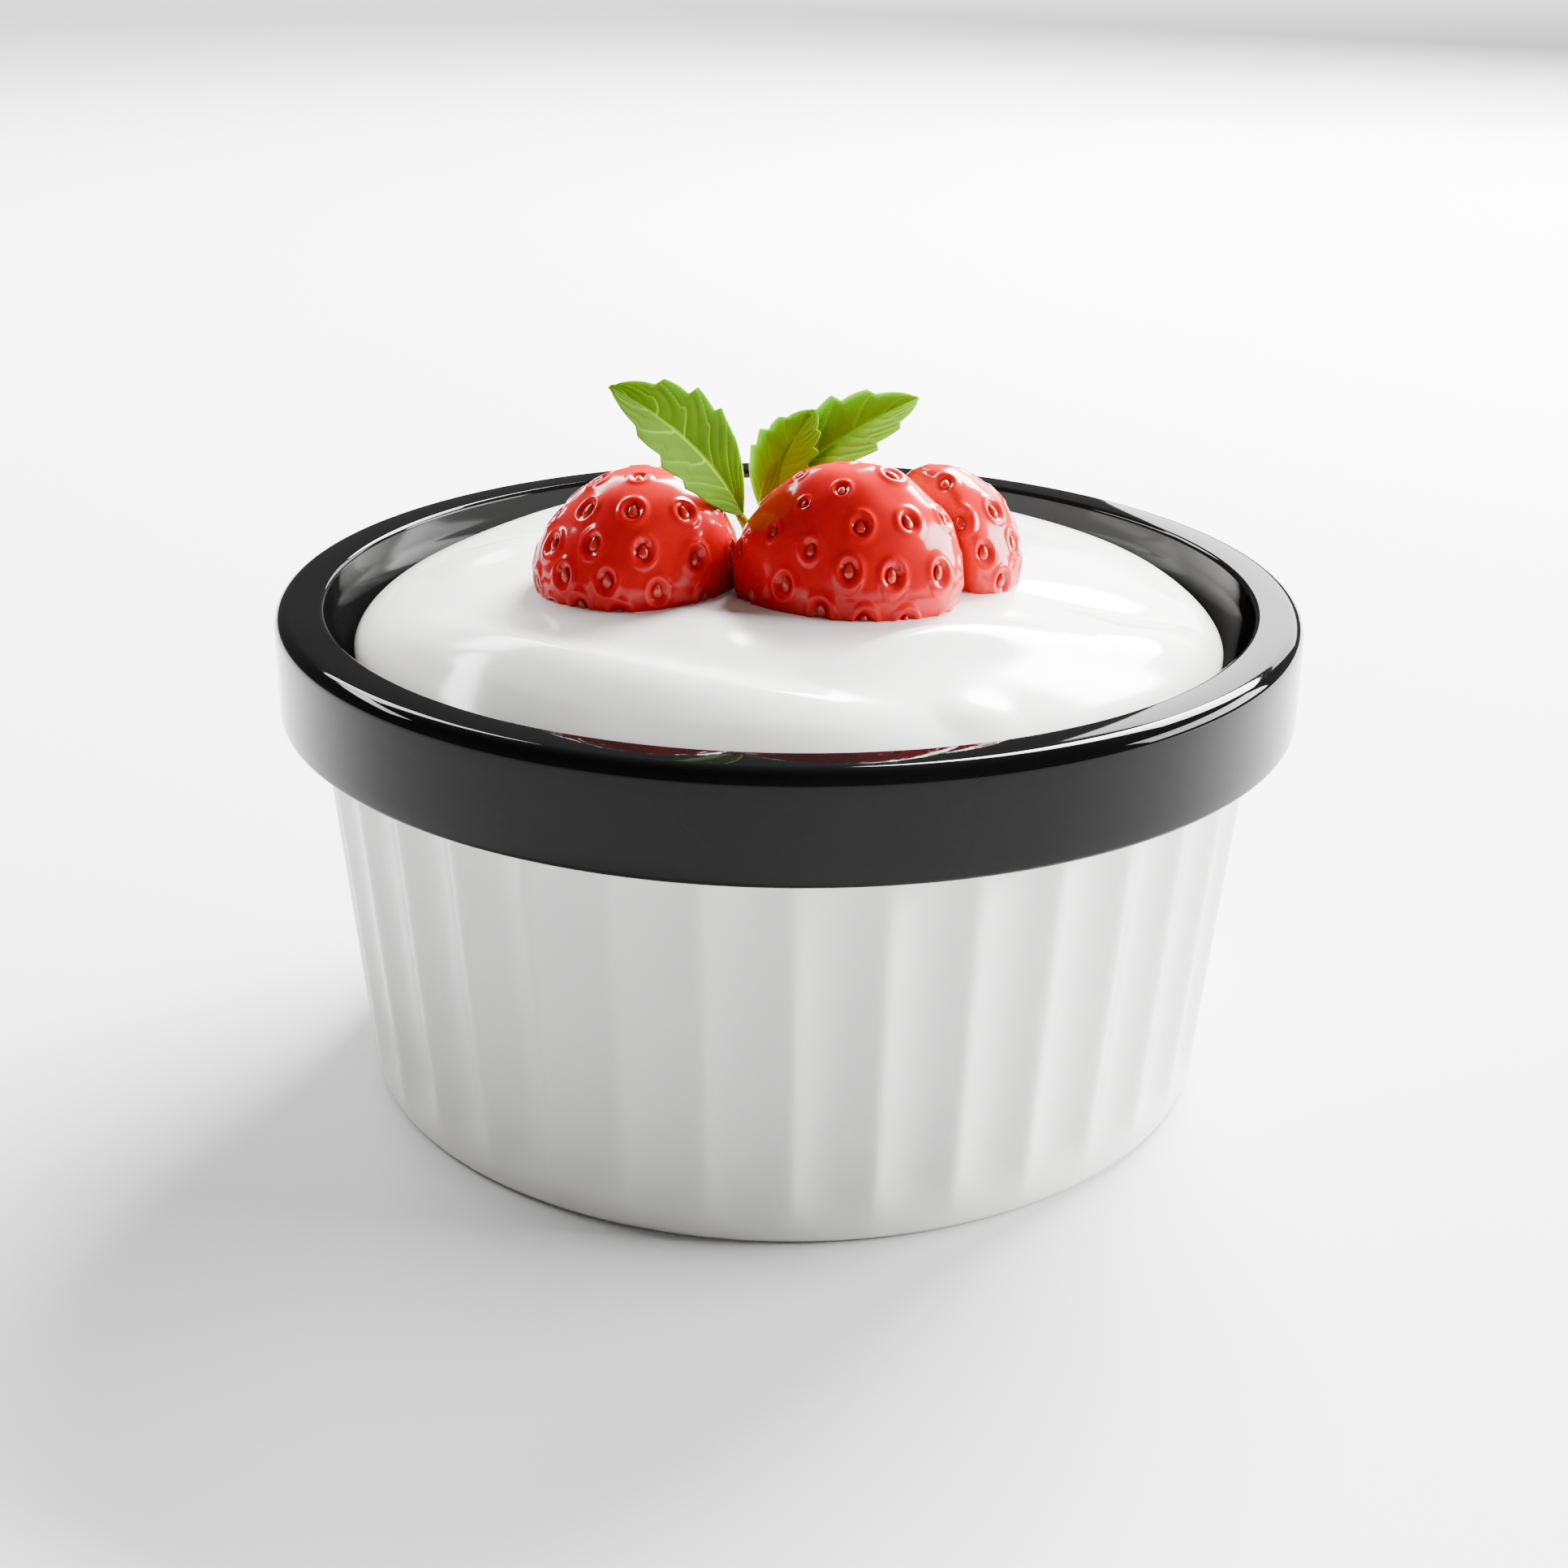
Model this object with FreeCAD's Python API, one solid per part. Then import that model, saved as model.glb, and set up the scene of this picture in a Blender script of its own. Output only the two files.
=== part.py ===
"""A ramekin of yogurt with three strawberries and a sprig of mint.

The ramekin is one piece of glazed stoneware: a tapered, fluted wall on a foot ring, with a plain
upright rim band that overhangs the wall. Its cavity is filled with yogurt, heaped above the rim
in a soft dome. Three strawberries, stood on their hulled ends, are pressed into the dome, and a
sprig with three leaves stands between them.

Millimetres. +Z is up, the origin is the centre of the foot ring's underside, and the berries
stand towards -Y.
"""
import FreeCAD, Part
import math
import os

from FreeCAD import Matrix, Vector

# ---- ramekin -------------------------------------------------------------------------------
RIM_RADIUS = 55.0            # outside of the rim band
BOWL_HEIGHT = 53.5
BAND_HEIGHT = 11.3           # the upright rim band
BAND_OVERHANG = 4.1          # how far the band stands out from the flutes' crests
RIM_WIDTH = 5.2              # across the rim's top, roundings included
RIM_OUTER_ROUND = 1.6
RIM_INNER_ROUND = 0.6
BAND_LOWER_ROUND = 0.6
WALL_TAPER = 3.8             # how much narrower the wall is at the foot than under the band
WALL_THICKNESS = 3.6         # from the bottom of a flute to the cavity
GALLERY_DEPTH = 3.0          # from the rim's top down to where the cavity starts to narrow
GALLERY_DRAFT = 0.4          # how much the cavity narrows over that depth
SHOULDER_DROP = 6.5          # height of the slope between the gallery and the wall's inside
FLOOR_THICKNESS = 4.6        # from the foot ring's underside to the cavity's floor
FLOOR_ROUND = 5.0            # between the cavity's floor and its wall
FOOT_RING_WIDTH = 5.0
FOOT_RECESS = 1.2
FOOT_ROUND = 1.2
RECESS_ROUND = 0.6
FLUTE_OVERLAP = 3.0          # how far the fluted wall runs up inside the band

FLUTES = 36
FLUTE_DEPTH = 0.8
FLUTE_PHASE = 1.0            # degrees from -Y to the nearest crest
FLUTE_FADE = 7.0             # height over which the flutes fade out above the foot
FLUTE_POINTS = 6             # points on the curve for each flute
WALL_LEVELS = 8              # curves the wall is drawn through, closer together at the foot
LEVEL_CROWDING = 1.6

# ---- yogurt --------------------------------------------------------------------------------
CROWN_RISE = 4.0             # the dome's top above the rim
SHOULDER_BELOW_RIM = 4.8     # where the dome's flank stands upright
DOME_GAP = 2.9               # between that flank and the rim's inner edge
DOME_FLATNESS = 3.6          # powers of the dome's outline
DOME_FLANK = 1.56
DOME_STEPS = 12

# ---- strawberries --------------------------------------------------------------------------
# name, centre x and y, half width, half depth, height, turn about +Z in degrees, lean in x and y
BERRIES = (
    ("strawberry_left", -15.9, -10.9, 10.6, 9.6, 15.0, 0.0, 0.06, 0.02),
    ("strawberry_front", 5.4, -14.4, 12.2, 8.8, 16.4, -14.0, 0.05, 0.04),
    ("strawberry_back", 15.2, -6.2, 9.2, 8.4, 14.2, -20.0, 0.02, 0.00),
)
BERRY_SINK = 3.2             # how far a berry is pressed into the yogurt
BERRY_GAP = 0.25             # kept between berries that lean on each other
# half of a berry's outline as shares of its half width and height, hulled end first
BERRY_OUTLINE = (
    (0.82, 0.00), (0.96, 0.14), (1.00, 0.29), (0.95, 0.48), (0.81, 0.68), (0.58, 0.85),
    (0.30, 0.965), (0.0, 1.0),
)

# ---- mint ----------------------------------------------------------------------------------
# leaf base and tip, the way its face points, half width, rise of its arch
NODE = (-4.2, -5.8, 4.2)     # where the leaves meet; heights here are above the dome's crown
LEAVES = (
    ((-4.9, -8.0, 6.1), (-17.8, -16.0, 21.1), (0.16, -0.72, 0.67), 4.8, 1.8),
    ((-3.3, -4.1, 6.0), (13.4, 1.0, 16.6), (-0.28, -0.58, 0.76), 4.7, 1.0),
    ((-3.0, -3.8, 5.2), (2.4, 1.4, 15.1), (-0.30, -0.75, 0.55), 3.5, 0.7),
)
LEAF_THICKNESS = 0.5
LEAF_WIDEST = 1.05           # above 1, a leaf is widest past its middle
LEAF_FULLNESS = 0.75         # below 1, its outline is fuller than a half sine
LEAF_FOLD = 0.22             # rise of each half of a leaf for its width
LEAF_TEETH = 6
TOOTH_DEPTH = 0.11           # as a share of the half width
TOOTH_STEPS = (0.0, 0.45, 0.9)
LEAF_END = 0.10              # width of a leaf's two ends, as a share of its half width
STEM_RADIUS = 0.8
NODE_RADIUS = 1.2
PETIOLE_LAP = 0.06           # share of the leaf that its stalk runs into
PETIOLE_RADIUS = 0.55        # the short stalk of each leaf
STEM_SINK = 3.0              # how deep the stem is pushed into the yogurt

RIM_INSIDE = RIM_RADIUS - RIM_WIDTH
BAND_BOTTOM = BOWL_HEIGHT - BAND_HEIGHT
CREST_TOP = RIM_RADIUS - BAND_OVERHANG
CREST_BASE = CREST_TOP - WALL_TAPER
DOME_RADIUS = RIM_INSIDE - DOME_GAP
CROWN = BOWL_HEIGHT + CROWN_RISE
FLANK_HEIGHT = BOWL_HEIGHT - SHOULDER_BELOW_RIM
ABOVE = CROWN                # height of tools that only have to pass right through


def revolve(outline):
    """Solid of revolution about +Z of a closed outline of (radius, height) points."""
    points = [Vector(radius, 0, height) for radius, height in outline]
    face = Part.Face(Part.makePolygon(points + points[:1]))
    return face.revolve(Vector(), Vector(0, 0, 1), 360)


def round_edge(solid, radius, height, size):
    """Round the circular edge that lies at one radius and height."""
    edges = [edge for edge in solid.Edges if is_ring(edge, radius, height)]
    return solid.makeFillet(size, edges)


def is_ring(edge, radius, height, tolerance=0.05):
    ends = [vertex.Point for vertex in edge.Vertexes]
    middle = edge.valueAt((edge.FirstParameter + edge.LastParameter) / 2)
    return all(
        abs(math.hypot(point.x, point.y) - radius) < tolerance
        and abs(point.z - height) < tolerance
        for point in ends + [middle]
    )


# ---- ramekin -------------------------------------------------------------------------------
def crest_radius(height):
    return CREST_BASE + WALL_TAPER * height / BAND_BOTTOM


def inner_radius(height):
    """Inside of the wall, which follows the outside."""
    return crest_radius(height) - FLUTE_DEPTH - WALL_THICKNESS


def flute_curve(height):
    """Closed wavy curve round the wall at one height; plain near the foot."""
    share = min(1.0, max(0.0, height - FOOT_ROUND) / FLUTE_FADE)
    depth = FLUTE_DEPTH * share * share * (3 - 2 * share)
    count = FLUTES * FLUTE_POINTS
    points = []
    for index in range(count):
        angle = 2 * math.pi * index / count
        wave = math.cos(FLUTES * (angle + math.pi / 2 - math.radians(FLUTE_PHASE)))
        radius = crest_radius(height) - depth * (1 - wave) / 2
        points.append(Vector(radius * math.cos(angle), radius * math.sin(angle), height))
    curve = Part.BSplineCurve()
    curve.interpolate(Points=points, PeriodicFlag=True)
    return Part.Wire(curve.toShape())


def fluted_wall():
    top = BAND_BOTTOM + FLUTE_OVERLAP
    shares = [level / (WALL_LEVELS - 1) for level in range(WALL_LEVELS)]
    heights = [top * share ** LEVEL_CROWDING for share in shares]
    return Part.makeLoft([flute_curve(height) for height in heights], True, False)


def cavity():
    """The space inside the ramekin, carried on above the rim."""
    gallery = BOWL_HEIGHT - GALLERY_DEPTH
    shoulder = gallery - SHOULDER_DROP
    floor = inner_radius(FLOOR_THICKNESS)
    space = revolve((
        (0, FLOOR_THICKNESS),
        (floor, FLOOR_THICKNESS),
        (inner_radius(shoulder), shoulder),
        (RIM_INSIDE - GALLERY_DRAFT, gallery),
        (RIM_INSIDE, BOWL_HEIGHT),
        (RIM_INSIDE, BOWL_HEIGHT + ABOVE),
        (0, BOWL_HEIGHT + ABOVE),
    ))
    return round_edge(space, floor, FLOOR_THICKNESS, FLOOR_ROUND)


def foot_recess():
    radius = CREST_BASE - FOOT_ROUND - FOOT_RING_WIDTH
    recess = Part.makeCylinder(radius, FOOT_RECESS + ABOVE, Vector(0, 0, -ABOVE))
    return round_edge(recess, radius, FOOT_RECESS, RECESS_ROUND)


def make_bowl():
    band = Part.makeCylinder(RIM_RADIUS, BAND_HEIGHT, Vector(0, 0, BAND_BOTTOM))
    band = round_edge(band, RIM_RADIUS, BAND_BOTTOM, BAND_LOWER_ROUND)
    band = round_edge(band, RIM_RADIUS, BOWL_HEIGHT, RIM_OUTER_ROUND)
    wall = fluted_wall()
    wall = round_edge(wall, crest_radius(0), 0, FOOT_ROUND)
    bowl = wall.fuse(band).cut(cavity()).cut(foot_recess())
    return round_edge(bowl, RIM_INSIDE, BOWL_HEIGHT, RIM_INNER_ROUND)


# ---- yogurt --------------------------------------------------------------------------------
def dome_height(x, y):
    """Height of the yogurt before the berries are pressed in."""
    share = min(1.0, math.hypot(x, y) / DOME_RADIUS)
    rise = (CROWN - FLANK_HEIGHT) * (1 - share ** DOME_FLATNESS) ** (1 / DOME_FLANK)
    return FLANK_HEIGHT + rise


def dome_curve():
    """Outline of the heap from its flank to its crown."""
    points = []
    for step in range(DOME_STEPS + 1):
        slant = math.pi / 2 * (1 - step / DOME_STEPS)
        radius = DOME_RADIUS * math.sin(slant) ** (2 / DOME_FLATNESS)
        rise = (CROWN - FLANK_HEIGHT) * math.cos(slant) ** (2 / DOME_FLANK)
        points.append(Vector(radius, 0, FLANK_HEIGHT + rise))
    curve = Part.BSplineCurve()
    curve.interpolate(Points=points)
    return curve.toShape()


def make_fill():
    """The yogurt before anything is pressed into it."""
    shoulder = BOWL_HEIGHT - GALLERY_DEPTH - SHOULDER_DROP
    corners = [
        Vector(0, 0, CROWN),
        Vector(0, 0, FLOOR_THICKNESS),
        Vector(inner_radius(FLOOR_THICKNESS), 0, FLOOR_THICKNESS),
        Vector(inner_radius(shoulder), 0, shoulder),
        Vector(DOME_RADIUS, 0, contact_height()),
        Vector(DOME_RADIUS, 0, FLANK_HEIGHT),
    ]
    outline = Part.Wire([dome_curve()] + Part.makePolygon(corners).Edges)
    fill = Part.Face(outline).revolve(Vector(), Vector(0, 0, 1), 360)
    return round_edge(fill, inner_radius(FLOOR_THICKNESS), FLOOR_THICKNESS, FLOOR_ROUND)


def contact_height():
    """Height at which the upright flank meets the cavity's wall."""
    gallery = BOWL_HEIGHT - GALLERY_DEPTH
    low = inner_radius(gallery - SHOULDER_DROP)
    slope = (RIM_INSIDE - GALLERY_DRAFT - low) / SHOULDER_DROP
    return gallery - SHOULDER_DROP + (DOME_RADIUS - low) / slope


# ---- strawberries --------------------------------------------------------------------------
def berry_curve(width, height):
    points = [Vector(width * radius, 0, height * level) for radius, level in BERRY_OUTLINE]
    curve = Part.BSplineCurve()
    curve.interpolate(Points=points)
    return curve


def berry_placing(berry):
    """Matrix that turns a round berry standing at the origin into the one in the bowl."""
    _, x, y, width, depth, _, turn, lean_x, lean_y = berry
    placing = Matrix()
    placing.scale(1, depth / width, 1)
    placing.rotateZ(math.radians(turn))
    lean = Matrix(1, 0, lean_x, 0, 0, 1, lean_y, 0, 0, 0, 1, 0, 0, 0, 0, 1)
    shift = Matrix()
    shift.move(Vector(x, y, dome_height(x, y) - BERRY_SINK))
    return shift * lean * placing


def berry_body(berry):
    """Smooth berry with a flat hulled end."""
    width, height = berry[3], berry[5]
    curve = berry_curve(width, height)
    base, axis = Vector(width * BERRY_OUTLINE[0][0], 0, 0), Vector(0, 0, 0)
    top = Vector(0, 0, height)
    outline = [curve.toShape(), Part.makeLine(top, axis), Part.makeLine(axis, base)]
    solid = Part.Face(Part.Wire(outline)).revolve(axis, Vector(0, 0, 1), 360)
    return solid.transformGeometry(berry_placing(berry))


def reach(berry, across):
    """How far a berry extends from its centre in one level direction."""
    along = Vector(across.x, across.y, 0)
    turned = FreeCAD.Rotation(Vector(0, 0, 1), -berry[6]).multVec(along)
    lean = berry[5] * BERRY_OUTLINE[2][1] * (berry[7] * across.x + berry[8] * across.y)
    return math.hypot(berry[3] * turned.x, berry[4] * turned.y) + lean


def pare(body, berry, other):
    """Cut a berry flat where it would run into the one it leans on."""
    centre = Vector(other[1], other[2], 0)
    across = (Vector(berry[1], berry[2], 0) - centre).normalize()
    end = centre + across * (reach(other, across) + BERRY_GAP)
    return body.cut(Part.makeCylinder(2 * CROWN, CROWN, end - across * CROWN, across))


def make_berries():
    """The three berries; each is pared to fit the ones before it."""
    berries = {}
    for index, berry in enumerate(BERRIES):
        body = berry_body(berry)
        for other in BERRIES[:index]:
            body = pare(body, berry, other)
        berries[berry[0]] = body
    return berries


# ---- mint ----------------------------------------------------------------------------------
def leaf_half_width(along):
    """Half width at a share of a leaf's length, for a half width of one; saw-toothed."""
    tooth = (along * LEAF_TEETH) % 1.0
    smooth = math.sin(math.pi * along ** LEAF_WIDEST) ** LEAF_FULLNESS if 0 < along < 1 else 0.0
    return max(LEAF_END, smooth * (1 + TOOTH_DEPTH * (2 * tooth - 1)))


def leaf_section(frame, along, half, arch):
    """Thin chevron across a leaf."""
    base, length, side, face = frame
    rise = 4 * arch * along * (1 - along)
    rim = rise + half * LEAF_FOLD
    upper = [(-half, rim), (0, rise), (half, rim)]
    lower = [(across, up - LEAF_THICKNESS) for across, up in reversed(upper)]
    points = [base + length * along + side * across + face * up for across, up in upper + lower]
    return Part.makePolygon(points + points[:1])


def make_leaf(leaf):
    start, end, facing, half_width, arch = leaf
    base = Vector(*start) + Vector(0, 0, CROWN)
    length = Vector(*end) + Vector(0, 0, CROWN) - base
    side = length.cross(Vector(*facing)).normalize()
    face = side.cross(length).normalize()
    frame = (base, length, side, face)
    steps = [(tooth + step) / LEAF_TEETH for tooth in range(LEAF_TEETH) for step in TOOTH_STEPS]
    sections = []
    for along in steps + [1.0]:
        sections.append(leaf_section(frame, along, half_width * leaf_half_width(along), arch))
    return Part.makeLoft(sections, True, True)


def make_petiole(node, leaf):
    """Stalk from the node into the leaf, as far as the leaf's own arch and thickness allow."""
    start, end = (Vector(*point) + Vector(0, 0, CROWN) for point in leaf[:2])
    reach_in = start + (end - start) * PETIOLE_LAP
    return Part.makeCylinder(PETIOLE_RADIUS, (reach_in - node).Length, node, reach_in - node)


def make_sprig():
    """Stem and leaves in one piece."""
    node = Vector(*NODE) + Vector(0, 0, CROWN)
    foot = Vector(node.x, node.y, dome_height(node.x, node.y) - STEM_SINK)
    stem = Part.makeCylinder(STEM_RADIUS, (node - foot).Length, foot)
    parts = [Part.makeSphere(NODE_RADIUS, node)]
    for leaf in LEAVES:
        parts += [make_leaf(leaf), make_petiole(node, leaf)]
    return stem.fuse(parts), stem


def main():
    sprig, stem = make_sprig()
    parts = {"bowl": make_bowl(), "mint_sprig": sprig}
    berries = make_berries()
    parts.update(berries)
    parts["yogurt"] = make_fill().cut(list(berries.values()) + [stem])
    os.makedirs("parts", exist_ok=True)
    for name, shape in parts.items():
        solid = max(shape.Solids, key=lambda piece: piece.Volume)
        solid.exportStep("parts/" + name + ".step")
        print(name, solid.isValid(), len(shape.Solids), round(solid.Volume), solid.BoundBox)


main()
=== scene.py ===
import math

import bmesh
import bpy
import numpy as np
from mathutils import Matrix, Vector
from mathutils.bvhtree import BVHTree


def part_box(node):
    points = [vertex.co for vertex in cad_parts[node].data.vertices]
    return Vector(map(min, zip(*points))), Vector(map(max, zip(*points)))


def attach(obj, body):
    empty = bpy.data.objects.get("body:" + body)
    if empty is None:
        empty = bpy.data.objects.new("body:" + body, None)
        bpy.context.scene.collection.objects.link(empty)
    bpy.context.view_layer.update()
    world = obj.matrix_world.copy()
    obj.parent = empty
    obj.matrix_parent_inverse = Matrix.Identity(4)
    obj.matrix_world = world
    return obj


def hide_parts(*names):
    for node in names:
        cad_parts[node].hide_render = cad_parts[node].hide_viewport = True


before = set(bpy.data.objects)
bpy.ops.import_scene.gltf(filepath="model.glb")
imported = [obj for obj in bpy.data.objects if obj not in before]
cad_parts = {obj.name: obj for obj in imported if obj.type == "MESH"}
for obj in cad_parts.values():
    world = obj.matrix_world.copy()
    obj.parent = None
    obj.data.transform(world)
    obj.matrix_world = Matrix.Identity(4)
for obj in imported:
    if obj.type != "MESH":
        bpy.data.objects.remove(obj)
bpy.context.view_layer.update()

MM = 0.001

# ---- places taken from the CAD nodes ---------------------------------------------------------
BOWL_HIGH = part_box("bowl")[1]
YOGURT_LOW, YOGURT_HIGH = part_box("yogurt")
RIM_RADIUS = BOWL_HIGH.x
RIM = BOWL_HIGH.z
FLOOR = YOGURT_LOW.z
DOME_RADIUS = YOGURT_HIGH.x
CROWN = YOGURT_HIGH.z

# ---- ramekin ---------------------------------------------------------------------------------
BAND_HEIGHT = 11.3 * MM
BAND_OVERHANG = 4.1 * MM
RIM_WIDTH = 5.2 * MM
RIM_OUTER_ROUND = 1.6 * MM
RIM_INNER_ROUND = 0.6 * MM
BAND_LOWER_ROUND = 0.6 * MM
WALL_TAPER = 3.8 * MM
WALL_THICKNESS = 4.4 * MM
GALLERY_DEPTH = 3.0 * MM
GALLERY_DRAFT = 0.4 * MM
SHOULDER_DROP = 6.5 * MM
FLOOR_ROUND = 5.0 * MM
FOOT_RING_WIDTH = 5.0 * MM
FOOT_RECESS = 1.2 * MM
FOOT_ROUND = 1.2 * MM
FOOT_INSET = 0.5 * MM
FOOT_CHAMFER = 0.3 * MM
FOOT_RECESS_ROUND = 0.6 * MM
GLAZE_ROUND = 0.3 * MM
FLUTES = 36
FLUTE_DEPTH = 1.05 * MM
CREST_EASE = 0.18
FLUTE_PHASE = math.radians(1.0)
FLUTE_FADE = 7.0 * MM
# how far inside the crests a point of the outline may lie and still be fluted
WALL_TOLERANCE = 0.1 * MM
# radius of the small disc that closes each outline at the axis, and of one more ring on the floor
AXIS_DISC = 2 * MM
FLOOR_RING = 20 * MM
BOWL_SEGMENTS = 720
WHITE_GLAZE = ((0.64, 0.632, 0.62), (0.68, 0.672, 0.66))
BLACK_GLAZE = ((0.0015, 0.0015, 0.0016), (0.003, 0.003, 0.0032))

# ---- yogurt ----------------------------------------------------------------------------------
FLANK_DROP = 4.8 * MM
# powers of the dome's outline, and how far above the shoulder the heap reaches its full radius
DOME_FLATNESS = 3.6
DOME_FLANK = 1.56
HEAP_STEP = 0.4 * MM
YOGURT_SEGMENTS = 420
YOGURT_RINGS = 150
# a faint unevenness, and the share of the radius over which it and the folds fade at the edge
UNEVEN_HEIGHT = 0.22 * MM
UNEVEN_CELL = 13 * MM
UNEVEN_START = 5
SWIRL_FADE = 0.10
YOGURT_COLOURS = ((0.90, 0.885, 0.86), (0.94, 0.93, 0.91))

# ---- strawberries ----------------------------------------------------------------------------
# bearing and rise of each berry's tip, in degrees, and the number that starts its noise
BERRY_TIPS = {
    "strawberry_left": (35, 55, 11),
    "strawberry_front": (-155, 52, 23),
    "strawberry_back": (60, 70, 37),
}
# height of a berry's centre as a share of its own, its mesh's subdivisions, and passes of easing
BERRY_CENTRE = 0.35
BERRY_DETAIL = 7
BERRY_EASING = 50
# lumps and finer grain: by what share they change the radius, and the size of their cells
LUMP_SHARE, LUMP_CELL = 0.042, 5.5 * MM
GRAIN_SHARE, GRAIN_CELL = 0.006, 2.2 * MM

# the spiral of seeds, from the tip, where they are smallest, to just short of the hulled end
SEEDS = 74
SPIRAL_POWER = 0.60
SPIRAL_SPREAD = 0.98
TIP_SIZE = 0.55
SIZE_GROWTH = 0.45
GROWTH_ANGLE = 1.1

# a dimple's size; its floor, the ridge round it and its deeper red, which is painted shade, are shares of
# its radius
DIMPLE_RADIUS = 1.4 * MM
DIMPLE_STRETCH = 1.3
DIMPLE_DEPTH = 0.36 * MM
DIMPLE_FLOOR = 0.58
DIMPLE_SHADE_SPREAD = 0.55
RIDGE_HEIGHT = 0.17 * MM
RIDGE_PLACE = 0.92
RIDGE_WIDTH = 0.24

# half a seed's length; its half width, half length and half height, its taper and how far it
# stands out are shares of that
SEED_HALF = 0.80 * MM
SEED_SHAPE = (0.62, 1.0, 0.40)
SEED_TAPER = 0.35
SEED_STAND = 0.12
SEED_DETAIL = 3

SKIN_REDS = ((0.50, 0.0003, 0.0040), (0.60, 0.0005, 0.0060))
# painted shade: the deeper reds that darken the dimples stand in for the shade in their hollows
DIMPLE_SHADE_REDS = ((0.36, 0.0003, 0.0020), (0.44, 0.0005, 0.0030))
SEED_COLOURS = ((0.36, 0.002, 0.002), (0.48, 0.020, 0.004))

# ---- mint ------------------------------------------------------------------------------------
# where the stalks meet, in mm from the middle of the crown
NODE = (-4.2, -5.8, 4.2)
# each leaf's base and tip, in mm from the crown, the way it faces, its half width and its arch
LEAVES = (
    ((-4.9, -8.0, 6.1), (-17.8, -16.0, 21.1), (0.16, -0.72, 0.67), 4.8, 1.8),
    ((-3.3, -4.1, 6.0), (13.4, 1.0, 16.6), (-0.28, -0.58, 0.76), 4.7, 1.0),
    ((-3.0, -3.8, 5.2), (2.4, 1.4, 15.1), (-0.30, -0.75, 0.55), 3.5, 0.7),
)
# painted light: what is added to each leaf's paleness, so that the second and third leaves look more
# brightly lit
LEAF_PAINTED_LIGHT = (0.0, 0.60, 0.75)
# thickness in mm and the share of it that the edge loses, then slopes and shares of the half width
LEAF_THICKNESS = 0.45
LEAF_THINNING = 0.75
LEAF_FOLD = 0.22
LEAF_BEND = 0.10
LEAF_END_WIDTH = 0.06
# powers that shape the leaf's outline
LEAF_SKEW = 1.05
LEAF_FULLNESS = 0.75
LEAF_ROWS, LEAF_COLUMNS = 180, 56

# teeth of the leaf's edge: where along a tooth its point is, and where along the leaf they begin
TEETH = 6
TOOTH_POINT = 0.86
TOOTH_DEPTH = 0.12
TEETH_START, TEETH_GROWTH = 0.25, 0.4

# midrib: its width in shares of the leaf's half width, where it would run out, and its depth in mm
MIDRIB_WIDTH = 0.05
MIDRIB_LENGTH = 1.15
MIDRIB_DEPTH = 0.12
# side veins: how many, where along the leaf they begin and end, their sweep towards the tip, how
# much they fade towards the edge, and their depth and the blade's rise between them in mm
SIDE_VEINS = 5.0
VEINS_START, VEINS_END = 0.04, 0.97
VEIN_SWEEP = 0.32
VEIN_CURVE = 1.3
VEIN_FADE = 0.6
VEIN_DEPTH = 0.03
PILLOW_HEIGHT = 0.07
# in shares of the gap between two side veins: how far one half's are shifted, how much they
# wander, and their width
VEIN_STAGGER = 0.3
VEIN_WANDER = 0.12
VEIN_WIDTH = 0.024
# how fast the wander changes, in radians over the leaf's length and half width
WANDER_ALONG, WANDER_ACROSS = 8, 5
# how pale the veins are, and the underside and its veins
MIDRIB_PALENESS, VEIN_PALENESS = 0.85, 0.7
UNDERSIDE_PALENESS, UNDERSIDE_VEINS = 0.35, 0.5

# stem and stalks: places along each, with its radius in mm there
STEM = ((0.0, 0.8), (0.4, 0.7), (0.8, 0.8), (1.0, 0.9))
STEM_DEPTH = 2.5 * MM
STALK = ((0.0, 0.8), (0.35, 0.6), (0.7, 0.5), (1.0, 0.3))
STALK_DROP = 0.5 * MM
STALK_REACH = 0.08
STALK_PALENESS = 0.6
TUBE_SEGMENTS = 20

BLADE_GREENS = ((0.036, 0.085, 0.0001), (0.056, 0.120, 0.0002))
PALE_GREENS = ((0.21, 0.42, 0.004), (0.29, 0.53, 0.010))

# ---- studio and camera -----------------------------------------------------------------------
MIDDLE = (0, 0, 0.05)
# name, place, aim and size in metres, and power in watts; the last one lights only the far floor
LIGHTS = (
    ("left", (-0.60, 0.32, 0.54), MIDDLE, (0.42, 0.09), 5),
    ("right", (0.88, 0.14, 0.31), MIDDLE, (0.70, 0.32), 40),
    ("back_right", (0.46, 0.80, 0.76), MIDDLE, (0.76, 0.42), 140),
    ("back_left", (-0.42, 0.78, 0.66), MIDDLE, (0.40, 0.20), 8),
    ("low_right", (0.40, 0.88, 0.34), MIDDLE, (0.50, 0.26), 5),
    ("far_floor", (0, 2.2, 1.6), (0, 4.0, 0), (3.0, 1.2), 180),
)
WORLD_STRENGTH = 0.18
FLOOR_HALF = 30.0
FLOOR_GREYS = ((0.72, 0.72, 0.72), (0.76, 0.76, 0.76))
# lens and sensor in mm, turns in degrees, and the camera's place in rim radii
LENS, SENSOR = 53.75, 36
CAMERA_PITCH, CAMERA_YAW, CAMERA_ROLL = 22.036, -0.077, 0.677
CAMERA_PLACE = (0, -4.438, 2.3446)


# ---- meshes ----------------------------------------------------------------------------------
def make_object(name, points, faces, material, smooth=True):
    mesh = bpy.data.meshes.new(name)
    mesh.from_pydata([tuple(point) for point in points], [], faces)
    mesh.polygons.foreach_set("use_smooth", [smooth] * len(mesh.polygons))
    mesh.update()
    for item in material if isinstance(material, tuple) else (material,):
        mesh.materials.append(item)
    thing = bpy.data.objects.new(name, mesh)
    bpy.context.collection.objects.link(thing)
    return thing


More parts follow.
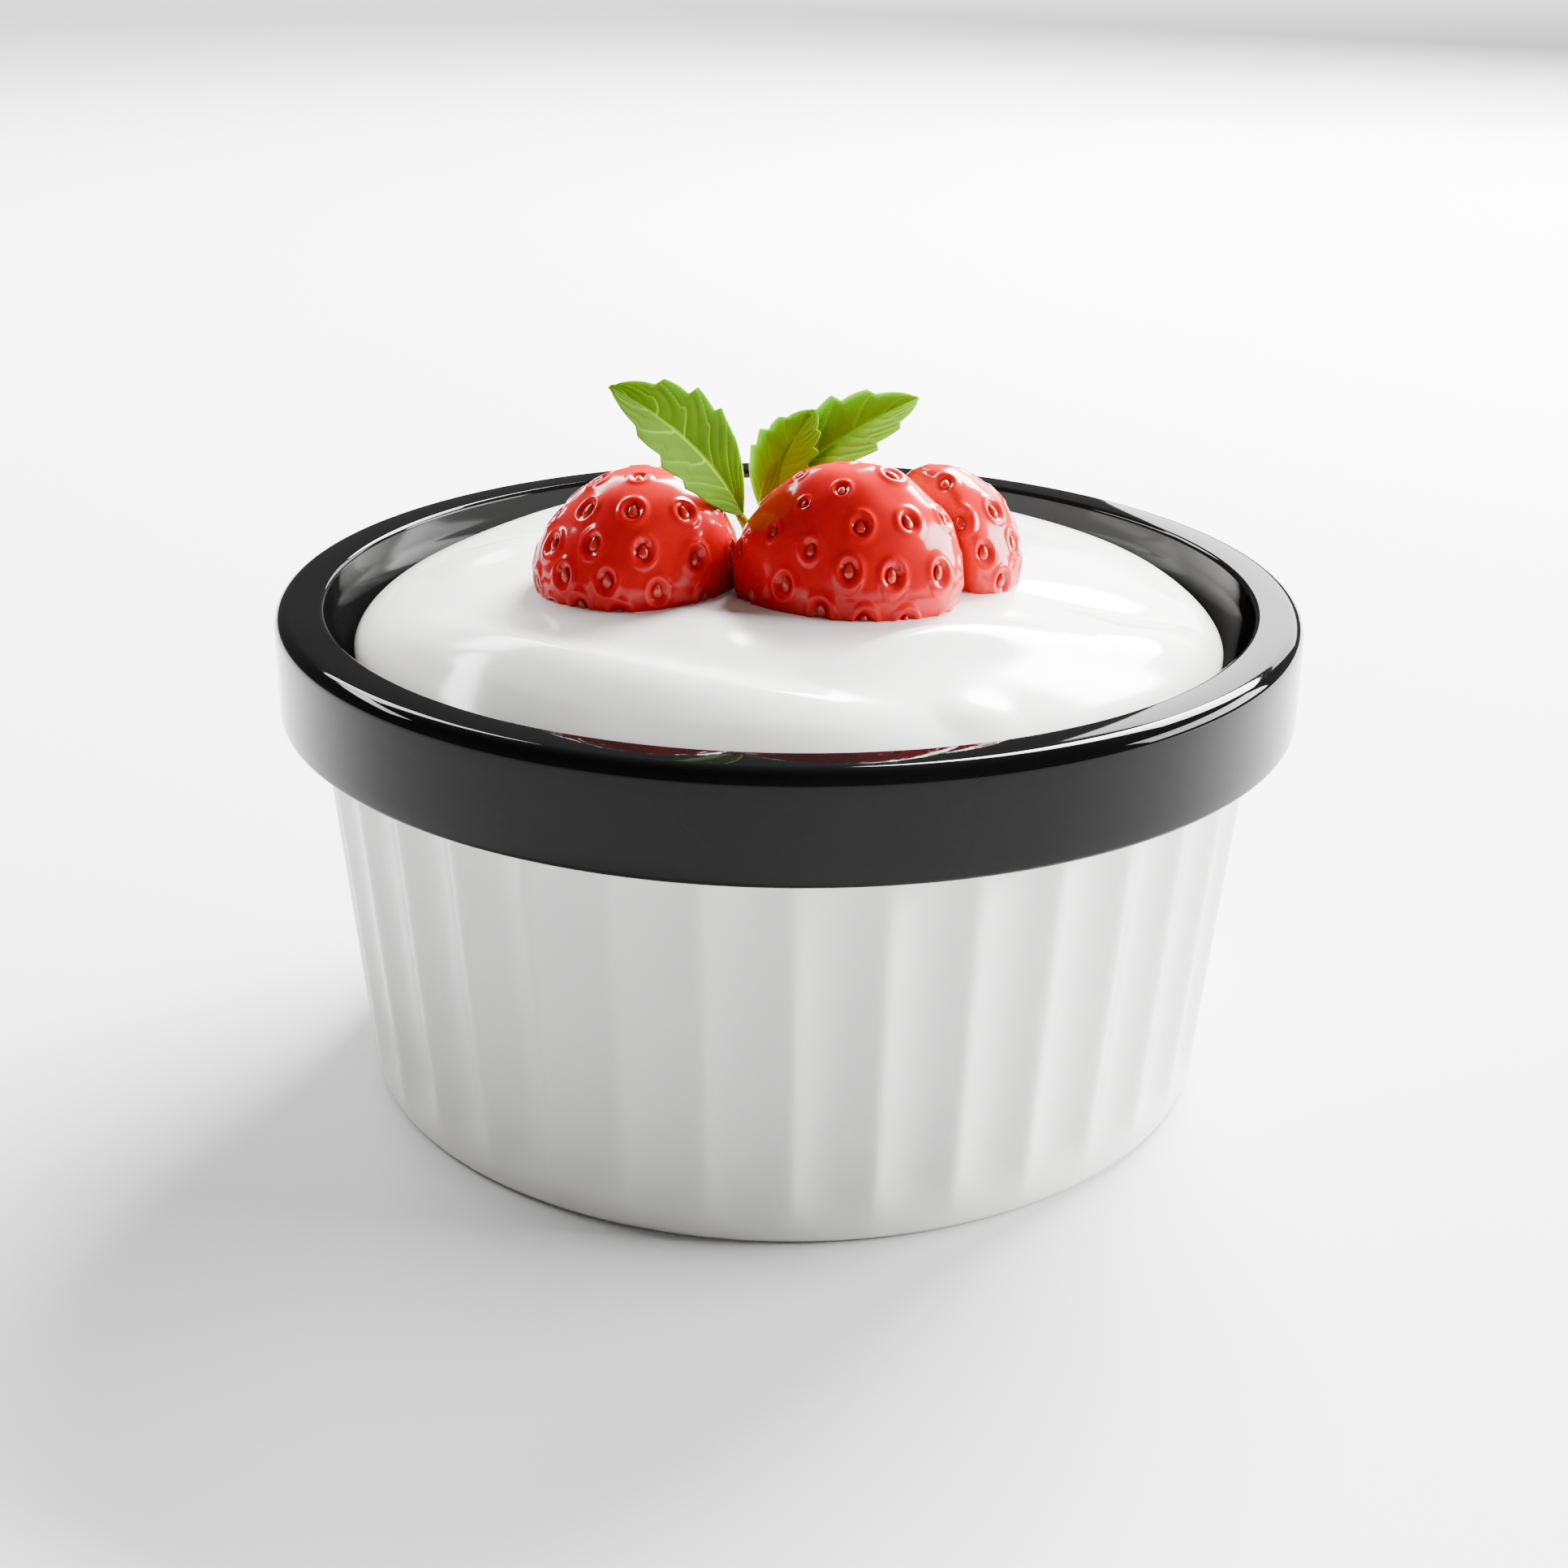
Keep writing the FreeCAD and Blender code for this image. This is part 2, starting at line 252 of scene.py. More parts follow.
def add_values(thing, name, values):
    """One number for every vertex, which the materials read."""
    attribute = thing.data.attributes.new(name, "FLOAT", "POINT")
    attribute.data.foreach_set("value", np.asarray(values, np.float32).ravel())


def lathe_faces(rings, segments):
    """Faces between rings of points, with a flat face on the first and the last ring."""
    faces = []
    for ring in range(rings - 1):
        low, high = ring * segments, (ring + 1) * segments
        for step in range(segments):
            after = (step + 1) % segments
            faces.append((low + step, low + after, high + after, high + step))
    last = (rings - 1) * segments
    faces.append(tuple(range(segments - 1, -1, -1)))
    faces.append(tuple(range(last, last + segments)))
    return faces


def smooth_step(value):
    value = np.clip(value, 0, 1)
    return value * value * (3 - 2 * value)


# numbers that turn a grid corner and a start into a random key, and the levels taken from it
CORNER_FACTORS = np.array([73856093, 19349663, 83492791])
START_FACTOR = 2654435761
KEY_FACTOR = 1274126177
KEY_SHIFT = 13
KEY_MASK = 0x7FFFFFFF
NOISE_LEVELS = 65536


def value_noise(points, cell, start):
    """Smooth random values between -1 and 1 in space, other ones for each start."""
    grid = points / cell
    base = np.floor(grid).astype(np.int64)
    part = smooth_step(grid - base)
    total = np.zeros(len(points))
    for corner in range(8):
        step = np.array([corner & 1, corner >> 1 & 1, corner >> 2])
        key = (base + step) @ CORNER_FACTORS + start * START_FACTOR
        key = (key ^ (key >> KEY_SHIFT)) * KEY_FACTOR & KEY_MASK
        weight = np.prod(np.where(step, part, 1 - part), axis=1)
        total += weight * ((key % NOISE_LEVELS) / ((NOISE_LEVELS - 1) / 2) - 1)
    return total


# ---- materials -------------------------------------------------------------------------------
# sockets of a Mix node that mixes colours
MIX_FACTOR, MIX_FIRST, MIX_SECOND, MIX_RESULT = 0, 6, 7, 2


def new_material(name):
    material = bpy.data.materials.new(name)
    material.use_nodes = True
    nodes = material.node_tree.nodes
    return material, nodes, material.node_tree.links, nodes["Principled BSDF"]


def two_tones(nodes, links, source, colours, places=(0.3, 0.7)):
    """A colour that goes from the first to the second as the source goes from place to place."""
    ramp = nodes.new("ShaderNodeValToRGB")
    for element, place, colour in zip(ramp.color_ramp.elements, places, colours):
        element.position = place
        element.color = (*colour, 1)
    links.new(source, ramp.inputs[0])
    return ramp.outputs[0]


def noise_node(nodes, links, scale, detail=2.0):
    place = nodes.new("ShaderNodeTexCoord")
    noise = nodes.new("ShaderNodeTexNoise")
    noise.inputs["Scale"].default_value = scale
    noise.inputs["Detail"].default_value = detail
    links.new(place.outputs["Object"], noise.inputs["Vector"])
    return noise.outputs[0]


def value_node(nodes, name):
    attribute = nodes.new("ShaderNodeAttribute")
    attribute.attribute_name = name
    return attribute.outputs["Fac"]


def mix_colours(nodes, links, factor, first, second):
    mix = nodes.new("ShaderNodeMix")
    mix.data_type = "RGBA"
    links.new(factor, mix.inputs[MIX_FACTOR])
    links.new(first, mix.inputs[MIX_FIRST])
    links.new(second, mix.inputs[MIX_SECOND])
    return mix.outputs[MIX_RESULT]


def glaze(name, colours, roughness, scale, shine):
    material, nodes, links, shader = new_material(name)
    noise = noise_node(nodes, links, scale)
    links.new(two_tones(nodes, links, noise, colours), shader.inputs["Base Color"])
    shader.inputs["Roughness"].default_value = roughness
    shader.inputs["Specular IOR Level"].default_value = shine
    return material


def yogurt_material():
    material, nodes, links, shader = new_material("yogurt")
    noise = noise_node(nodes, links, scale=90)
    links.new(two_tones(nodes, links, noise, YOGURT_COLOURS), shader.inputs["Base Color"])
    shader.inputs["Roughness"].default_value = 0.13
    shader.inputs["Specular IOR Level"].default_value = 0.34
    shader.inputs["Subsurface Weight"].default_value = 0.08
    shader.inputs["Subsurface Scale"].default_value = 0.002
    shader.inputs["Subsurface Radius"].default_value = (1.0, 0.8, 0.6)
    return material


def berry_material():
    material, nodes, links, shader = new_material("strawberry")
    noise = noise_node(nodes, links, scale=140, detail=3.0)
    skin = two_tones(nodes, links, noise, SKIN_REDS)
    # painted shade: the dimples take the deeper red
    shade_red = two_tones(nodes, links, noise, DIMPLE_SHADE_REDS)
    colour = mix_colours(nodes, links, value_node(nodes, "dimple_painted_shade"), skin, shade_red)
    links.new(colour, shader.inputs["Base Color"])
    shader.inputs["Roughness"].default_value = 0.14
    shader.inputs["Specular IOR Level"].default_value = 0.25
    shader.inputs["Subsurface Weight"].default_value = 0.12
    shader.inputs["Subsurface Scale"].default_value = 0.0015
    shader.inputs["Subsurface Radius"].default_value = (1.0, 0.2, 0.1)
    return material


def seed_material():
    material, nodes, links, shader = new_material("seeds")
    noise = noise_node(nodes, links, scale=260)
    colour = two_tones(nodes, links, noise, SEED_COLOURS, places=(0.35, 0.7))
    links.new(colour, shader.inputs["Base Color"])
    shader.inputs["Roughness"].default_value = 0.2
    shader.inputs["Coat Weight"].default_value = 0.25
    return material


def leaf_material():
    material, nodes, links, shader = new_material("mint")
    noise = noise_node(nodes, links, scale=170, detail=4.0)
    blade = two_tones(nodes, links, noise, BLADE_GREENS)
    pale = two_tones(nodes, links, noise, PALE_GREENS)
    # the pale greens stand for the veins and stalks and, over whole leaves, for painted light
    colour = mix_colours(nodes, links, value_node(nodes, "paleness_and_painted_light"), blade, pale)
    links.new(colour, shader.inputs["Base Color"])
    shader.inputs["Roughness"].default_value = 0.55
    shader.inputs["Specular IOR Level"].default_value = 0.02
    shader.inputs["Subsurface Weight"].default_value = 0.6
    shader.inputs["Subsurface Scale"].default_value = 0.0008
    shader.inputs["Subsurface Radius"].default_value = (0.7, 1.0, 0.1)
    return material


# ---- ramekin ---------------------------------------------------------------------------------
def crest_radius(height):
    base = RIM_RADIUS - BAND_OVERHANG - WALL_TAPER
    return base + WALL_TAPER * height / (RIM - BAND_HEIGHT)


def inner_radius(height):
    return crest_radius(height) - WALL_THICKNESS


def arc(centre, radius, start, end, steps=6):
    """Points on an arc in the (radius, height) plane; angles in degrees."""
    points = []
    for step in range(steps + 1):
        angle = math.radians(start + (end - start) * step / steps)
        points.append((centre[0] + radius * math.cos(angle), centre[1] + radius * math.sin(angle)))
    return points


def line(start, end, steps):
    """Points between two ends, without the ends themselves."""
    shares = [step / steps for step in range(1, steps)]
    return [tuple(a + (b - a) * share for a, b in zip(start, end)) for share in shares]


def white_outline():
    """From the middle of the underside, round the foot and up the wall to the band."""
    foot = crest_radius(0) - FOOT_ROUND
    ring = foot - FOOT_RING_WIDTH
    band = RIM - BAND_HEIGHT
    recess = (ring - FOOT_RECESS_ROUND, FOOT_RECESS - FOOT_RECESS_ROUND)
    middle = (AXIS_DISC, FOOT_RECESS)
    points = [middle] + line(middle, (ring - FOOT_RECESS_ROUND, FOOT_RECESS), steps=6)
    points += arc(recess, FOOT_RECESS_ROUND, 90, 0, steps=4)
    points += [(ring, FOOT_CHAMFER), (ring + FOOT_CHAMFER, 0), (foot - FOOT_INSET, 0)]
    points += arc((foot, FOOT_ROUND), FOOT_ROUND, -90, 0)
    top = (crest_radius(band - GLAZE_ROUND), band - GLAZE_ROUND)
    return points + line((crest_radius(FOOT_ROUND), FOOT_ROUND), top, steps=34) + [top]


def black_outline():
    """Round the band, over the rim, and down the inside to the floor."""
    band = RIM - BAND_HEIGHT
    inside = RIM_RADIUS - RIM_WIDTH
    gallery, shoulder = RIM - GALLERY_DEPTH, RIM - GALLERY_DEPTH - SHOULDER_DROP
    floor = inner_radius(FLOOR)
    lower = (RIM_RADIUS - BAND_LOWER_ROUND, band + BAND_LOWER_ROUND)
    outer = (RIM_RADIUS - RIM_OUTER_ROUND, RIM - RIM_OUTER_ROUND)
    inner = (inside + RIM_INNER_ROUND, RIM - RIM_INNER_ROUND)
    points = [(crest_radius(band) + GLAZE_ROUND, band)]
    points += arc(lower, BAND_LOWER_ROUND, -90, 0)
    points += line((RIM_RADIUS, lower[1]), (RIM_RADIUS, outer[1]), steps=6)
    points += arc(outer, RIM_OUTER_ROUND, 0, 90, steps=10)
    points += arc(inner, RIM_INNER_ROUND, 90, 180)
    points += line((inside, inner[1]), (inside - GALLERY_DRAFT, gallery), steps=4)
    points += [(inside - GALLERY_DRAFT, gallery), (inner_radius(shoulder), shoulder)]
    points += line((inner_radius(shoulder), shoulder), (floor, FLOOR + FLOOR_ROUND), steps=6)
    points += arc((floor - FLOOR_ROUND, FLOOR + FLOOR_ROUND), FLOOR_ROUND, 0, -90)
    return points + [(FLOOR_RING, FLOOR), (AXIS_DISC, FLOOR)]


def flute_wave(angle):
    """Share of the flute's depth: 0 on the narrow crests and 1 in the middle of the wide grooves."""
    turn = FLUTES * (angle + math.pi / 2 - FLUTE_PHASE) / (2 * math.pi)
    away = 2 * np.abs(turn - np.round(turn))
    eased = (np.hypot(away, CREST_EASE) - CREST_EASE) / (math.hypot(1, CREST_EASE) - CREST_EASE)
    return 1 - (1 - eased) ** 2


def ring_points(radii, heights, angles):
    return list(zip(radii * np.cos(angles), radii * np.sin(angles), heights + np.zeros_like(angles)))


def make_bowl():
    white, black = white_outline(), black_outline()
    angles = np.arange(BOWL_SEGMENTS) * 2 * math.pi / BOWL_SEGMENTS
    wave = flute_wave(angles)
    points = []
    for index, (radius, height) in enumerate(white + black):
        on_wall = index < len(white) and radius > crest_radius(height) - WALL_TOLERANCE
        depth = FLUTE_DEPTH * smooth_step((height - FOOT_ROUND) / FLUTE_FADE) if on_wall else 0.0
        points += ring_points(radius - depth * wave, height, angles)
    faces = lathe_faces(len(white) + len(black), BOWL_SEGMENTS)
    materials = (
        glaze("white_glaze", WHITE_GLAZE, roughness=0.15, scale=25, shine=0.5),
        glaze("black_glaze", BLACK_GLAZE, roughness=0.04, scale=30, shine=0.09),
    )
    bowl = make_object("ramekin", points, faces, materials)
    split = len(white) * BOWL_SEGMENTS
    slots = [1 if face[0] >= split else 0 for face in faces]
    bowl.data.polygons.foreach_set("material_index", slots)
    return bowl


# ---- yogurt ----------------------------------------------------------------------------------
# bearings of a fold's two ends in degrees, its distances from the middle at its start, middle and
# end as shares of the heap's radius, its width and height in mm, and by what share its left
# flank is wider, and its right one narrower, looking along it
FOLDS = (
    ((197, 289), (0.90, 0.79, 0.92), 3.8, 1.30, -0.35),
    ((273, 325), (0.76, 0.64, 0.80), 3.0, 1.30, -0.30),
    ((252, 255), (0.45, 0.58, 0.73), 4.2, 0.70, 0.0),
    ((290, 300), (0.92, 0.91, 0.94), 2.6, 0.45, 0.0),
    ((331, 356), (0.49, 0.82, 0.88), 3.2, -0.80, 0.0),
    ((318, 348), (0.77, 0.88, 0.94), 3.4, 0.80, 0.0),
    ((183, 168), (0.83, 0.66, 0.48), 4.0, 0.80, 0.20),
    ((152, 49), (0.72, 0.76, 0.79), 4.5, 1.10, 0.30),
    ((130, 11), (0.33, 0.42, 0.69), 4.0, -0.80, 0.0),
)
FOLD_STEPS = 8


def fold_path(bearings, shares):
    """Points along a fold, in plan, on a parabola through its three distances."""
    points = []
    for step in range(FOLD_STEPS + 1):
        along = step / FOLD_STEPS
        weights = ((2 * along - 1) * (along - 1), 4 * along * (1 - along), along * (2 * along - 1))
        radius = DOME_RADIUS * sum(share * weight for share, weight in zip(shares, weights))
        bearing = math.radians(bearings[0] + (bearings[1] - bearings[0]) * along)
        points.append(np.array([radius * math.cos(bearing), radius * math.sin(bearing)]))
    return points


def fold(x, y, path, width, height, lean):
    """Soft ridge along a path, or a soft groove where the height is negative."""
    nearest = np.full_like(x, np.inf)
    value = np.zeros_like(x)
    for index, (start, end) in enumerate(zip(path, path[1:])):
        run = end - start
        share = np.clip(((x - start[0]) * run[0] + (y - start[1]) * run[1]) / (run @ run), 0, 1)
        off_x, off_y = x - start[0] - share * run[0], y - start[1] - share * run[1]
        distance = np.hypot(off_x, off_y)
        side = np.sign(run[0] * off_y - run[1] * off_x)
        reach = width * MM * (1 + lean * side)
        ends = np.sin(math.pi * (index + share) / FOLD_STEPS)
        here = np.exp(-(distance / reach) ** 2) * ends
        value = np.where(distance < nearest, here, value)
        nearest = np.minimum(distance, nearest)
    return value * height * MM


def swirls(x, y):
    """What the folds and a faint unevenness add to the heap's height."""
    total = np.zeros_like(x)
    for bearings, shares, width, height, lean in FOLDS:
        total += fold(x, y, fold_path(bearings, shares), width, height, lean)
    edge = np.hypot(x, y) / DOME_RADIUS
    plan = np.stack([x, y, np.zeros_like(x)], -1)
    total += UNEVEN_HEIGHT * value_noise(plan, UNEVEN_CELL, UNEVEN_START)
    return total * smooth_step((1.0 - edge) / SWIRL_FADE)


def make_yogurt():
    """The heap, carried down to the bowl's floor inside its wall."""
    angles = np.arange(YOGURT_SEGMENTS) * 2 * math.pi / YOGURT_SEGMENTS
    flank = RIM - FLANK_DROP
    shoulder = RIM - GALLERY_DEPTH - SHOULDER_DROP
    floor = inner_radius(FLOOR)
    below = [(AXIS_DISC, FLOOR), (floor - FLOOR_ROUND, FLOOR), (floor, FLOOR + FLOOR_ROUND)]
    below += [(inner_radius(shoulder), shoulder), (DOME_RADIUS, shoulder + HEAP_STEP)]
    below += line((DOME_RADIUS, shoulder + HEAP_STEP), (DOME_RADIUS, flank), steps=6)
    points = []
    for radius, height in below:
        points += ring_points(radius, height, angles)
    for ring in range(YOGURT_RINGS):
        slant = math.pi / 2 * (1 - ring / YOGURT_RINGS)
        radius = DOME_RADIUS * math.sin(slant) ** (2 / DOME_FLATNESS)
        x, y = radius * np.cos(angles), radius * np.sin(angles)
        rise = (CROWN - flank) * math.cos(slant) ** (2 / DOME_FLANK)
        points += list(zip(x, y, flank + rise + swirls(x, y)))
    faces = lathe_faces(len(below) + YOGURT_RINGS, YOGURT_SEGMENTS)
    return make_object("yogurt_heap", points, faces, yogurt_material())


# ---- strawberries ----------------------------------------------------------------------------
def ball(subdivisions):
    shape = bmesh.new()
    bmesh.ops.create_icosphere(shape, subdivisions=subdivisions, radius=1)
    points = np.array([vertex.co for vertex in shape.verts])
    faces = [tuple(vertex.index for vertex in face.verts) for face in shape.faces]
    edges = np.array([[vertex.index for vertex in edge.verts] for edge in shape.edges])
    shape.free()
    return points, faces, edges


def even_out(values, edges, passes):
    """Average every vertex's value with its neighbours'."""
    size = len(values)
    ends = np.concatenate([edges[:, 0], edges[:, 1]])
    others = np.concatenate([edges[:, 1], edges[:, 0]])
    count = np.bincount(ends, minlength=size)
    for _ in range(passes):
        values = 0.5 * values + 0.5 * np.bincount(ends, values[others], minlength=size) / count
    return values


def node_surface(node, centre, directions):
    """Distance from a centre to the CAD node's surface in each direction."""
    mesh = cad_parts[node].data
    tree = BVHTree.FromPolygons(
        [vertex.co for vertex in mesh.vertices], [tuple(face.vertices) for face in mesh.polygons])
    reach = []
    for direction in directions:
        hit = tree.ray_cast(centre, Vector(direction))
        reach.append(hit[3] if hit[3] is not None else 0.0)
    return np.array(reach)


def seed_directions(tip):
    """Directions of the seeds on a spiral about the berry's axis, and their relative sizes."""
    bearing, rise = (math.radians(angle) for angle in tip[:2])
    shares = (np.arange(SEEDS) + 0.5) / SEEDS
    polar = math.pi * shares ** SPIRAL_POWER * SPIRAL_SPREAD
    spin = np.arange(SEEDS) * math.pi * (3 - math.sqrt(5))
    local = np.stack([np.sin(polar) * np.cos(spin), np.sin(polar) * np.sin(spin), np.cos(polar)], 1)
    axis = Vector((
        math.cos(bearing) * math.cos(rise),
        math.sin(bearing) * math.cos(rise),
        math.sin(rise),
    ))
    turned = axis.to_track_quat("Z", "Y").to_matrix()
    sizes = TIP_SIZE + SIZE_GROWTH * smooth_step(polar / GROWTH_ANGLE)
    return local @ np.array(turned).T, sizes


def make_berry(node, tip, materials):
    """The CAD berry's outline, eased and made lumpy, with dimples and a seed in each."""
    low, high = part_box(node)
    middle = low.z + (high.z - low.z) * BERRY_CENTRE
    centre = Vector(((low.x + high.x) / 2, (low.y + high.y) / 2, middle))
    directions, faces, edges = ball(BERRY_DETAIL)
    reach = even_out(node_surface(node, centre, directions), edges, BERRY_EASING)
    points = directions * reach[:, None]
    lumps = LUMP_SHARE * value_noise(points, LUMP_CELL, tip[2])
    grain = GRAIN_SHARE * value_noise(points, GRAIN_CELL, tip[2] + 1)
    points *= (1 + lumps + grain)[:, None]
    seeds, sizes = seed_directions(tip)
    nearest = np.argmax(seeds @ directions.T, axis=1)
    spots = points[nearest]
    sink = np.zeros(len(points))
    painted_shade = np.zeros(len(points))
    for spot, size in zip(spots, sizes):
        offset = points - spot
        offset[:, 2] /= DIMPLE_STRETCH
        distance = np.linalg.norm(offset, axis=1) / (DIMPLE_RADIUS * size)
        sink += DIMPLE_DEPTH * size * np.exp(-(distance / DIMPLE_FLOOR) ** 4)
        sink -= RIDGE_HEIGHT * size * np.exp(-((distance - RIDGE_PLACE) / RIDGE_WIDTH) ** 2)
        # painted shade: how much of the deeper red each vertex takes, most in the middle of a dimple
        painted_shade = np.maximum(painted_shade, np.exp(-(distance / DIMPLE_SHADE_SPREAD) ** 4))
    points -= directions * sink[:, None]
    berry = make_object(node + "_fruit", points + np.array(centre), faces, materials[0])
    add_values(berry, "dimple_painted_shade", painted_shade)
    return berry, make_seeds(node, centre, points, nearest, directions, sizes, materials[1])


def make_seeds(node, centre, points, nearest, directions, sizes, material):
    """Drop-shaped seeds standing in the dimples."""
    shape, shape_faces, _ = ball(SEED_DETAIL)
    all_points, all_faces = [], []
    for index, size in zip(nearest, sizes):
        outward = Vector(directions[index])
        up = (Vector((0, 0, 1)) - outward * outward.z).normalized()
        side = up.cross(outward)
        axes = np.array([side, up, outward])
        local = shape * (np.array(SEED_SHAPE) * SEED_HALF * size)
        local[:, 0] *= 1 - SEED_TAPER * shape[:, 1]
        place = np.array(centre) + points[index] + np.array(outward) * SEED_HALF * SEED_STAND
        offset = len(all_points) * len(shape)
        all_points.append(local @ axes + place)
        all_faces += [tuple(corner + offset for corner in face) for face in shape_faces]
    return make_object(node + "_seeds", np.concatenate(all_points), all_faces, material)


# ---- mint ------------------------------------------------------------------------------------
def leaf_half_width(along):
    """Share of the leaf's half width at each place along it, with its teeth."""
    tooth = (along * TEETH) % 1.0
    edge = np.where(tooth < TOOTH_POINT, tooth / TOOTH_POINT, (1 - tooth) / (1 - TOOTH_POINT))
    smooth = np.sin(math.pi * np.clip(along, 0, 1) ** LEAF_SKEW) ** LEAF_FULLNESS
    depth = TOOTH_DEPTH * smooth_step((along - TEETH_START) / TEETH_GROWTH)
    return np.maximum(LEAF_END_WIDTH, smooth * (1 + depth * (2 * edge - 1)))


def vein_pattern(along, across):
    """Strength of the midrib and of the side veins, and how far off the nearest side vein is."""
    midrib = np.exp(-(across / (MIDRIB_WIDTH * (MIDRIB_LENGTH - along))) ** 2)
    wander = VEIN_WANDER * np.sin(WANDER_ALONG * along + WANDER_ACROSS * across)
    swept = (along - VEIN_SWEEP * np.abs(across) ** VEIN_CURVE) * SIDE_VEINS
    phase = swept + VEIN_STAGGER * (across > 0) + wander
    offset = np.abs(phase - np.round(phase))
    present = np.where((along > VEINS_START) & (along < VEINS_END), 1.0, 0.0)
    strength = present * (1 - VEIN_FADE * np.abs(across))
    side = np.exp(-(offset / VEIN_WIDTH) ** 2) * strength
    return midrib, side, offset


def make_leaf(index, leaf, material):
    """Toothed, folded and arched blade, a thin closed slab with sunken veins."""
    base, tip, facing, half_width, arch = leaf
    base = Vector(base) * MM + Vector((0, 0, CROWN))
    length = Vector(tip) * MM + Vector((0, 0, CROWN)) - base
    side = length.cross(Vector(facing)).normalized()
    face = side.cross(length).normalized()
    along, across = np.meshgrid(
        np.linspace(0, 1, LEAF_ROWS), np.linspace(-1, 1, LEAF_COLUMNS), indexing="ij")
    half = half_width * leaf_half_width(along)
    midrib, side_vein, offset = vein_pattern(along, across)
    rise = 4 * arch * along * (1 - along) + half * np.abs(across) * LEAF_FOLD
    pillow = PILLOW_HEIGHT * np.sin(math.pi * np.minimum(offset * 2, 1))
    rise += pillow * np.abs(across) ** 0.5 * (1 - np.abs(across) ** 4)
    rise -= MIDRIB_DEPTH * midrib + VEIN_DEPTH * side_vein
    bend = LEAF_BEND * half_width * np.sin(math.pi * along) * (1 if index == 0 else -1)
    top = (np.array(base) + along[..., None] * np.array(length)
           + ((across * half + bend) * MM)[..., None] * np.array(side)
           + (rise * MM)[..., None] * np.array(face))
    thick = LEAF_THICKNESS * (1 - LEAF_THINNING * np.abs(across) ** 3) * MM
    under = top - thick[..., None] * np.array(face)
    points = np.concatenate([top.reshape(-1, 3), under.reshape(-1, 3)])
    blade = make_object("leaf_%d" % (index + 1), points, slab_faces(LEAF_ROWS, LEAF_COLUMNS), material)
    # the veins' own paleness, plus the leaf's painted light
    veins_and_light = MIDRIB_PALENESS * midrib + VEIN_PALENESS * side_vein + LEAF_PAINTED_LIGHT[index]
    veins_and_light = np.clip(veins_and_light, 0, 1).ravel()
    add_values(blade, "paleness_and_painted_light", np.concatenate([veins_and_light, UNDERSIDE_PALENESS + UNDERSIDE_VEINS * veins_and_light]))
    return blade


def slab_faces(rows, columns):
    """Faces of a closed slab made of two grids of points, the upper one first."""
    faces = []
    under = rows * columns
    for row in range(rows - 1):
        for column in range(columns - 1):
            a, b = row * columns + column, row * columns + column + 1
            c, d = b + columns, a + columns
            faces.append((a, b, c, d))
            faces.append((under + d, under + c, under + b, under + a))
        for column, flip in ((0, False), (columns - 1, True)):
            a, d = row * columns + column, (row + 1) * columns + column
            side = (a, d, under + d, under + a)
            faces.append(side[::-1] if flip else side)
    for row, flip in ((0, True), (rows - 1, False)):
        for column in range(columns - 1):
            a, b = row * columns + column, row * columns + column + 1
            end = (a, b, under + b, under + a)
            faces.append(end[::-1] if flip else end)
    return faces


def tube(name, start, end, profile, material):
    """Closed tube of level rings, with a radius for each place along it."""
    points = []
    for share, width in profile:
        place = start.lerp(end, share)
        radius = width * MM
        for step in range(TUBE_SEGMENTS):
            angle = 2 * math.pi * step / TUBE_SEGMENTS
            points.append(place + Vector((math.cos(angle) * radius, math.sin(angle) * radius, 0)))
    thing = make_object(name, points, lathe_faces(len(profile), TUBE_SEGMENTS), material)
    add_values(thing, "paleness_and_painted_light", [STALK_PALENESS] * len(thing.data.vertices))
    return thing


def make_stem(material):
    node = Vector(NODE) * MM + Vector((0, 0, CROWN))
    foot = Vector((node.x, node.y, CROWN - STEM_DEPTH))
    return tube("stem", foot, node, STEM, material)


def make_stalk(index, leaf, material):
    """Short stalk from the node to a little way into the leaf."""
    node = Vector(NODE) * MM + Vector((0, 0, CROWN - STALK_DROP))
    base, tip = Vector(leaf[0]) * MM, Vector(leaf[1]) * MM
    end = base.lerp(tip, STALK_REACH) + Vector((0, 0, CROWN))
    return tube("petiole_%d" % (index + 1), node, end, STALK, material)


# ---- the object ------------------------------------------------------------------------------
def hand_over(thing):
    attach(thing, "root")


